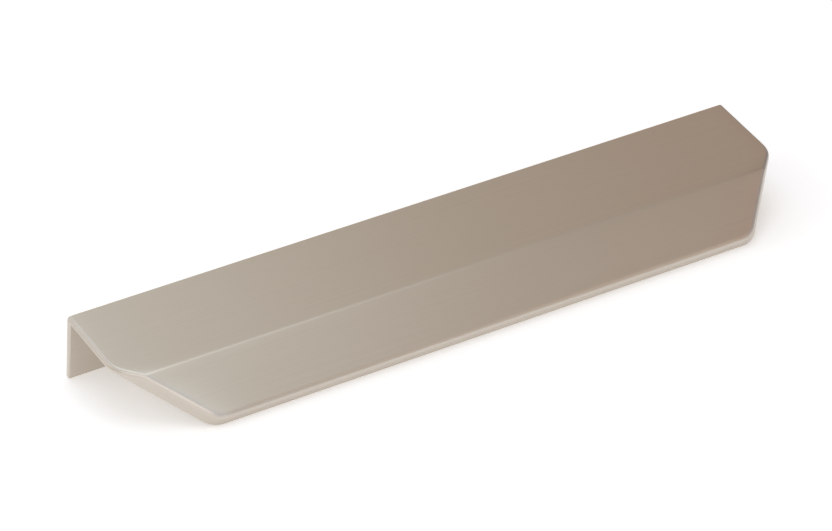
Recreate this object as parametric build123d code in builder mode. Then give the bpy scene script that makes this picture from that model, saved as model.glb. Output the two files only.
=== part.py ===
# Edge pull for a drawer or cabinet front, cut from one extruded aluminium profile. Millimetres.
#
# The back flange stands against the inner face of the drawer front, the flat plate lies over its top
# edge, and the thick nose slopes down in front of it as the finger grip. X runs along the handle,
# the front faces -Y and +Z is up. The handle lies as it rests unheld on a level floor: on the foot of
# its flange and on the lower edge of its lip, so the whole section leans forward by rest_angle.
from build123d import *
from math import atan2, cos, degrees, radians, sin, tan
import os

# Section of the profile
length = 200.0
wall = 1.6  # flange and flat plate
flange_height = 19.5  # from the top of the plate to the foot of the flange
plate_depth = 29.1  # from the back of the flange to the crease
facet_slope = 27.5  # degrees that the facet falls below the plate
facet_length = 17.5  # from the crease to the front edge, along the slope
nose_thickness = 3.8  # square to the facet
lip_lean = 25.0  # degrees that the front of the lip leans back, measured from square to the plate

# Slanting cuts that narrow the nose towards the lip, seen square to the plate
end_cut_lead = 3.6  # depth of a cut's straight stretch behind the crease
end_cut_angle = 42.5  # degrees between a cut and the square end
end_corner_radius = 8.0
lip_corner_radius = 6.0

# Bends of the section
crease_radius = 2.0
bend_radius = 1.5  # under the nose, where the plate thickens
root_radius = 0.8  # inside, between the flange and the plate

# Rounding of the outer edges, softest where the fingers meet them
nose_radius = 1.5  # upper edge of the nose, along both cuts and the lip
plate_end_radius = 1.0  # upper edges of the plate's ends
edge_radius = 0.5  # every other outer edge

# Countersunk screw holes in the flange, driven from behind
hole_spacing = 160.0
hole_count = 2
hole_radius = 2.0
countersink_radius = 3.0
countersink_angle = 90.0
hole_drop = 0.6 * flange_height  # from the top of the plate

# Section corners, each as its depth from the back of the flange and its height above the plate's top
slope = radians(facet_slope)
lean = radians(lip_lean)
up_facet = Vector(-cos(slope), sin(slope))
down_lip = Vector(-sin(lean), -cos(lean))
crease = Vector(plate_depth, 0)
lip_top = crease - up_facet * facet_length
lip_bottom = lip_top + down_lip * nose_thickness / cos(slope - lean)
underside_bend = lip_bottom - up_facet * (wall + lip_bottom.Y) / sin(slope)
crease_reach = crease_radius * tan(slope / 2)
crease_start = crease + Vector(-1, 0) * crease_reach
crease_end = crease - up_facet * crease_reach
top_back = Vector(0, 0)
foot_back = Vector(0, -flange_height)
foot_front = Vector(wall, -flange_height)
edge_corners = [top_back, lip_bottom, foot_front, foot_back]


def rounding_centre(corner, first, second, radius):
    # Centre of an outer edge's rounding, between faces that leave the corner along two directions
    return corner + (first + second) * radius / abs(first.cross(second).Z)


# The handle lies on the rounded edges of its foot and lip, which touch the floor together. That
# sets how far the section leans.
foot_low = rounding_centre(foot_front, Vector(-1, 0), Vector(0, 1), edge_radius)
lip_low = rounding_centre(lip_bottom, up_facet, -down_lip, edge_radius)
rest_angle = atan2(lip_low.Y - foot_low.Y, lip_low.X - foot_low.X)
forward = Vector(0, -cos(rest_angle), -sin(rest_angle))
upward = Vector(0, -sin(rest_angle), cos(rest_angle))


def leaned(point):
    # A section point turned into the resting pose about the top back edge
    return forward * point.X + upward * point.Y


# The origin is on the floor, at the middle of the length and of the depth
rear_rounding = rounding_centre(foot_back, Vector(1, 0), Vector(0, 1), edge_radius)
front_rounding = rounding_centre(lip_top, up_facet, down_lip, nose_radius)
rearmost = leaned(rear_rounding).Y + edge_radius
foremost = leaned(front_rounding).Y - nose_radius
top_back_edge = Vector(0, -(rearmost + foremost) / 2, edge_radius - leaned(foot_low).Z)
section_plane = Plane(top_back_edge, x_dir=forward, z_dir=(-1, 0, 0))
plate_plane = Plane(top_back_edge, x_dir=(1, 0, 0), z_dir=upward)
back_plane = Plane(top_back_edge - upward * hole_drop, x_dir=(1, 0, 0), z_dir=-forward)

# Outline seen square to the plate. It runs well past the flange and past the lip, so that it only
# trims the two ends.
half_length = length / 2
overrun = length / 2
cut_angle = radians(end_cut_angle)
end_corner_reach = end_corner_radius * tan(cut_angle / 2) * cos(cut_angle)
end_cut_depth = plate_depth - end_cut_lead - end_corner_reach
end_cut_run = (overrun - end_cut_depth) * tan(cut_angle)
right_outline = [
    (half_length, overrun),
    (half_length, -end_cut_depth),
    (half_length - end_cut_run, -overrun),
]
left_outline = [(-x, y) for x, y in reversed(right_outline)]


def faces_up(face):
    return face.normal_at().dot(upward) > 1e-6


def runs_along(face):
    # True for a face of the section, which keeps the same shape all along X
    return abs(face.normal_at().X) < 1e-6


with BuildPart() as handle_profile:
    with BuildSketch(section_plane):
        with BuildLine():
            FilletPolyline(
                *(top_back, crease, lip_top, lip_bottom, underside_bend),
                *(Vector(wall, -wall), foot_front, foot_back),
                radius=(0, 0, 0, 0, bend_radius, root_radius, 0, 0),
                close=True,
            )
        make_face()
    extrude(amount=half_length, both=True)

    with BuildSketch(plate_plane):
        with BuildLine():
            FilletPolyline(
                *right_outline,
                *left_outline,
                radius=(0, end_corner_radius, 0, 0, end_corner_radius, 0),
                close=True,
            )
        make_face()
    extrude(amount=overrun, both=True, mode=Mode.INTERSECT)

    def edge_at(corner):
        # The long edge that runs through a corner of the section
        long_edges = handle_profile.edges().filter_by(Axis.X)
        return long_edges.sort_by_distance(section_plane.from_local_coords(corner))[0]

    # The two upright corners where the cuts meet the front of the lip
    lip_front = handle_profile.faces().sort_by(Axis.Y)[0]
    fillet(lip_front.edges().filter_by(Axis.X, reverse=True), lip_corner_radius)

    # The upper edge of the nose, all round the facet but for the crease at its back
    facet = handle_profile.faces().filter_by(faces_up).sort_by(Axis.Y)[0]
    fillet(facet.edges().sort_by(Axis.Y)[:-1], nose_radius)

    # The upper edges of the plate's ends. They run into the crease in one smooth line, and so are
    # rounded from there.
    fillet(edge_at(crease), plate_end_radius)

    # The crease itself is eased further, along the whole length
    with BuildSketch(section_plane):
        with BuildLine():
            TangentArc(crease_start, crease_end, tangent=Vector(1, 0))
            Polyline(crease_end, Vector(crease_end.X, wall), Vector(crease_start.X, wall), crease_start)
        make_face()
    extrude(amount=half_length, both=True, mode=Mode.SUBTRACT)

    # Every other outer edge: those of the section, and those round the ends. The front of the lip comes
    # first in the sort and is left out, because the seams at its ends are smooth already.
    lower_faces = handle_profile.faces().filter_by(runs_along).filter_by(faces_up, reverse=True)
    end_edges = lower_faces.sort_by(Axis.Y)[1:].edges().filter_by(Axis.X, reverse=True)
    fillet(end_edges + [edge_at(corner) for corner in edge_corners], edge_radius)

    with Locations(back_plane):
        with GridLocations(hole_spacing, 0, hole_count, 1):
            CounterSinkHole(hole_radius, countersink_radius, wall, countersink_angle)

handle_profile.part.label = "handle_profile"

os.makedirs("parts", exist_ok=True)
export_step(handle_profile.part, "parts/handle_profile.step")
print(f"rest angle {degrees(rest_angle):.2f} degrees, size {handle_profile.part.bounding_box().size}")
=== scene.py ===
# Edge pull for a drawer or cabinet front, one piece of brushed aluminium profile with a satin nickel
# tone. It lies on a pale floor under soft studio light. Metres; the front faces -Y and +Z is up.
import bpy
from math import cos, pi, radians, sin, tan
from mathutils import Matrix, Vector

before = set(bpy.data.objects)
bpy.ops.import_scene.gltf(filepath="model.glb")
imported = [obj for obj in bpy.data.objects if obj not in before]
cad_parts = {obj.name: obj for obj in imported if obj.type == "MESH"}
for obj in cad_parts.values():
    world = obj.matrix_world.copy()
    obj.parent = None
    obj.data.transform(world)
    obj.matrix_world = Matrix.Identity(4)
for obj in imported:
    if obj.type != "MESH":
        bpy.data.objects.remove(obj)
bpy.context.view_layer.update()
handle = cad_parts["handle_profile"]

# Camera
camera_azimuth = 30.20  # degrees to the left of the front
camera_elevation = 28.80
camera_roll = 2.73  # degrees clockwise
camera_distance = 1.1607
camera_target = Vector((-0.00657, 0.00426, 0.01028))
camera_lens = 194.22
sensor_width = 36.0
nearest_seen = 0.01
farthest_seen = 100.0

# Studio
# World: radiance in red, green and blue by direction, from -1 at the left to 1 at the right
world_bands = {
    -0.50: (0.34, 0.33, 0.32),
    -0.10: (0.43, 0.44, 0.51),
    0.20: (0.80, 0.86, 0.91),
    0.40: (0.35, 0.31, 0.20),
    0.55: (0.29, 0.19, 0.13),
    0.90: (0.33, 0.34, 0.38),
}
floor_size = 40.0
floor_colour = (0.80, 0.80, 0.80, 1.0)
floor_glow = (0.375, 0.365, 0.35, 1.0)
# Softboxes: place, size, and radiance in red, green and blue
softboxes = {
    "over": (Vector((0.00, 0.00, 0.95)), (0.8, 0.8), (0.92, 1.01, 1.08)),
    "left_front": (Vector((-0.65, -0.65, 0.50)), (0.8, 0.8), (1.22, 1.21, 1.21)),
    "left": (Vector((-0.85, 0.15, 0.55)), (0.6, 0.6), (0.75, 0.71, 0.67)),
    "front": (Vector((0.00, -0.95, 0.45)), (0.8, 0.8), (0.16, 0.18, 0.20)),
    "right_front": (Vector((0.65, -0.65, 0.50)), (0.8, 0.8), (0.38, 0.30, 0.28)),
    "back": (Vector((0.00, 0.90, 0.45)), (0.8, 0.8), (0.58, 0.63, 0.70)),
    "left_back": (Vector((-0.65, 0.65, 0.50)), (0.8, 0.8), (0.70, 0.68, 0.67)),
    "right_back": (Vector((0.65, 0.65, 0.50)), (0.8, 0.8), (0.20, 0.15, 0.14)),
}
softbox_target = Vector((0.0, 0.0, 0.01))

# Brushed aluminium
metal_colour = (0.62, 0.565, 0.50)
metal_roughness = 0.38
metal_anisotropy = 0.5
# Brush lines along X: cells of noise to the metre on each axis, and how far they vary each property
brush_scale = (12.0, 1500.0, 1500.0)
brush_detail = 3.0
brush_breakup = 0.6
brush_depth = 0.0000075
brush_tone = 0.04  # share of the colour
brush_gloss = 0.05

# Easing, in the bump alone. The faces roll off softly towards the ends, most of all on the nose, and
# at the crease. Seen square to the plate, an end runs straight back from the start of its cut and at
# an angle in front of it.
handle_lean = radians(11.07)
half_length = 0.1
cut_start = 0.00083  # in front of the origin, along the plate
cut_angle = radians(42.5)
cut_blend = 0.0035  # rounds the corner between the straight end and the cut
roll_off_width = 0.0025
roll_off_depth = {"plate": 0.00007, "nose": 0.00045}
roll_off_growth = 0.012  # in front of the start of the cut, where the depth is the nose's
crease_place = 0.0059  # in front of the start of the cut
crease_width = 0.001
crease_depth = 0.00003


def add_node(tree, kind, **settings):
    node = tree.nodes.new(kind)
    for name, value in settings.items():
        setattr(node, name, value)
    return node


def add_math(tree, operation, *values):
    # Each value is a number or the output of another node
    node = add_node(tree, "ShaderNodeMath", operation=operation)
    for socket, value in zip(node.inputs, values):
        if isinstance(value, bpy.types.NodeSocket):
            tree.links.new(value, socket)
        else:
            socket.default_value = value
    return node.outputs[0]


def new_material(name):
    material = bpy.data.materials.new(name)
    material.use_nodes = True
    material.node_tree.nodes.clear()
    return material, material.node_tree


def make_camera():
    azimuth, elevation, roll = (radians(a) for a in (camera_azimuth, camera_elevation, camera_roll))
    back = Vector((-sin(azimuth) * cos(elevation), -cos(azimuth) * cos(elevation), sin(elevation)))
    level = Vector((0, 0, 1)).cross(back).normalized()
    upright = back.cross(level)
    right = level * cos(roll) - upright * sin(roll)
    up = back.cross(right)
    data = bpy.data.cameras.new("camera")
    data.sensor_fit = "HORIZONTAL"
    data.sensor_width = sensor_width
    data.lens = camera_lens
    data.clip_start = nearest_seen
    data.clip_end = farthest_seen
    camera = bpy.data.objects.new("camera", data)
    place = Matrix.Translation(camera_target + back * camera_distance)
    camera.matrix_world = place @ Matrix((right, up, back)).transposed().to_4x4()
    bpy.context.scene.collection.objects.link(camera)
    bpy.context.scene.camera = camera


def make_world():
    world = bpy.data.worlds.new("studio")
    world.use_nodes = True
    bpy.context.scene.world = world
    tree = world.node_tree
    tree.nodes.clear()
    direction = add_node(tree, "ShaderNodeTexCoord")
    split = add_node(tree, "ShaderNodeSeparateXYZ")
    across = add_node(tree, "ShaderNodeMapRange")
    across.inputs["From Min"].default_value = -1.0
    ramp = add_node(tree, "ShaderNodeValToRGB")
    ramp.color_ramp.interpolation = "EASE"
    stops = ramp.color_ramp.elements
    stops.remove(stops[1])
    for number, (place, light) in enumerate(sorted(world_bands.items())):
        stop = stops.new((place + 1) / 2) if number else stops[0]
        stop.position = (place + 1) / 2
        stop.color = light + (1.0,)
    studio = add_node(tree, "ShaderNodeBackground")
    output = add_node(tree, "ShaderNodeOutputWorld")
    tree.links.new(direction.outputs["Generated"], split.inputs[0])
    tree.links.new(split.outputs["X"], across.inputs["Value"])
    tree.links.new(across.outputs["Result"], ramp.inputs["Fac"])
    tree.links.new(ramp.outputs["Color"], studio.inputs["Color"])
    tree.links.new(studio.outputs[0], output.inputs["Surface"])


def make_floor():
    half = floor_size / 2
    mesh = bpy.data.meshes.new("floor")
    corners = [(-half, -half, 0), (half, -half, 0), (half, half, 0), (-half, half, 0)]
    mesh.from_pydata(corners, [], [(0, 1, 2, 3)])
    floor = bpy.data.objects.new("floor", mesh)
    bpy.context.scene.collection.objects.link(floor)
    # The glow shows to the camera and in reflections, and sheds no diffuse light
    material, tree = new_material("floor")
    base = add_node(tree, "ShaderNodeBsdfDiffuse")
    base.inputs["Color"].default_value = floor_colour
    glow = add_node(tree, "ShaderNodeEmission")
    glow.inputs["Color"].default_value = floor_glow
    path = add_node(tree, "ShaderNodeLightPath")
    seen = add_math(tree, "MAXIMUM", path.outputs["Is Camera Ray"], path.outputs["Is Glossy Ray"])
    seen_through = add_math(tree, "MAXIMUM", seen, path.outputs["Is Transmission Ray"])
    total = add_node(tree, "ShaderNodeAddShader")
    output = add_node(tree, "ShaderNodeOutputMaterial")
    tree.links.new(seen_through, glow.inputs["Strength"])
    tree.links.new(base.outputs[0], total.inputs[0])
    tree.links.new(glow.outputs[0], total.inputs[1])
    tree.links.new(total.outputs[0], output.inputs["Surface"])
    mesh.materials.append(material)


def make_softbox(name, place, size, light):
    data = bpy.data.lights.new(name, "AREA")
    data.shape = "RECTANGLE"
    data.size, data.size_y = size
    data.color = light
    data.energy = pi * size[0] * size[1]  # a radiance of 1, which the colour multiplies
    lamp = bpy.data.objects.new(name, data)
    lamp.location = place
    lamp.rotation_mode = "QUATERNION"
    lamp.rotation_quaternion = (softbox_target - place).to_track_quat("-Z", "Y")
    lamp.visible_camera = False
    bpy.context.scene.collection.objects.link(lamp)


def add_easing(tree, place):
    # Height that falls away towards the outline of the ends and into the crease
    split = add_node(tree, "ShaderNodeSeparateXYZ")
    tree.links.new(place, split.inputs[0])
    from_middle = add_math(tree, "ABSOLUTE", split.outputs["X"])
    back = add_math(tree, "MULTIPLY", split.outputs["Y"], cos(handle_lean))
    forward = add_math(tree, "MULTIPLY_ADD", split.outputs["Z"], -sin(handle_lean), -cut_start)
    past_start = add_math(tree, "SUBTRACT", forward, back)

    to_end = add_math(tree, "SUBTRACT", half_length, from_middle)
    along_cut = add_math(tree, "MULTIPLY_ADD", past_start, -tan(cut_angle), to_end)
    to_cut = add_math(tree, "MULTIPLY", along_cut, cos(cut_angle))
    nearest = add_math(tree, "SMOOTH_MIN", to_end, to_cut, cut_blend)
    inside = add_math(tree, "MAXIMUM", nearest, 0.0)
    end_fade = add_math(tree, "EXPONENT", add_math(tree, "DIVIDE", inside, -roll_off_width))
    depth = add_node(tree, "ShaderNodeMapRange", interpolation_type="SMOOTHSTEP")
    depth.inputs["From Max"].default_value = roll_off_growth
    depth.inputs["To Min"].default_value = -roll_off_depth["plate"]
    depth.inputs["To Max"].default_value = -roll_off_depth["nose"]
    tree.links.new(past_start, depth.inputs["Value"])
    end_height = add_math(tree, "MULTIPLY", end_fade, depth.outputs["Result"])

    past_crease = add_math(tree, "SUBTRACT", past_start, crease_place)
    across = add_math(tree, "DIVIDE", past_crease, crease_width)
    spread = add_math(tree, "MULTIPLY", across, add_math(tree, "MULTIPLY", across, -1.0))
    crease_fade = add_math(tree, "EXPONENT", spread)
    return add_math(tree, "MULTIPLY_ADD", crease_fade, -crease_depth, end_height)


def metal_shade(share):
    return tuple(channel * share for channel in metal_colour) + (1.0,)


def make_metal():
    material, tree = new_material("brushed_metal")
    place = add_node(tree, "ShaderNodeTexCoord")
    stretch = add_node(tree, "ShaderNodeMapping")
    stretch.inputs["Scale"].default_value = brush_scale
    lines = add_node(tree, "ShaderNodeTexNoise")
    lines.inputs["Scale"].default_value = 1.0
    lines.inputs["Detail"].default_value = brush_detail
    lines.inputs["Roughness"].default_value = brush_breakup
    tone = add_node(tree, "ShaderNodeMix", data_type="RGBA")
    tone.inputs["A"].default_value = metal_shade(1 - brush_tone)
    tone.inputs["B"].default_value = metal_shade(1 + brush_tone)
    rough = add_node(tree, "ShaderNodeMapRange")
    rough.inputs["To Min"].default_value = metal_roughness + brush_gloss
    rough.inputs["To Max"].default_value = metal_roughness - brush_gloss
    bump = add_node(tree, "ShaderNodeBump")
    bump.inputs["Strength"].default_value = 1.0
    bump.inputs["Distance"].default_value = 1.0
    tangent = add_node(tree, "ShaderNodeTangent", direction_type="RADIAL", axis="X")
    shader = add_node(tree, "ShaderNodeBsdfPrincipled")
    shader.inputs["Metallic"].default_value = 1.0
    shader.inputs["Anisotropic"].default_value = metal_anisotropy
    output = add_node(tree, "ShaderNodeOutputMaterial")
    tree.links.new(place.outputs["Object"], stretch.inputs["Vector"])
    tree.links.new(stretch.outputs[0], lines.inputs["Vector"])
    tree.links.new(lines.outputs["Fac"], tone.inputs["Factor"])
    tree.links.new(lines.outputs["Fac"], rough.inputs["Value"])
    easing = add_easing(tree, place.outputs["Object"])
    height = add_math(tree, "MULTIPLY_ADD", lines.outputs["Fac"], brush_depth, easing)
    tree.links.new(height, bump.inputs["Height"])
    tree.links.new(tone.outputs["Result"], shader.inputs["Base Color"])
    tree.links.new(rough.outputs["Result"], shader.inputs["Roughness"])
    tree.links.new(bump.outputs["Normal"], shader.inputs["Normal"])
    tree.links.new(tangent.outputs[0], shader.inputs["Tangent"])
    tree.links.new(shader.outputs[0], output.inputs["Surface"])
    return material


make_camera()
make_world()
make_floor()
for name, (place, size, light) in softboxes.items():
    make_softbox(name, place, size, light)
metal = make_metal()
for material_slot in handle.material_slots:
    material_slot.material = metal

bpy.context.scene.view_settings.view_transform = "Standard"
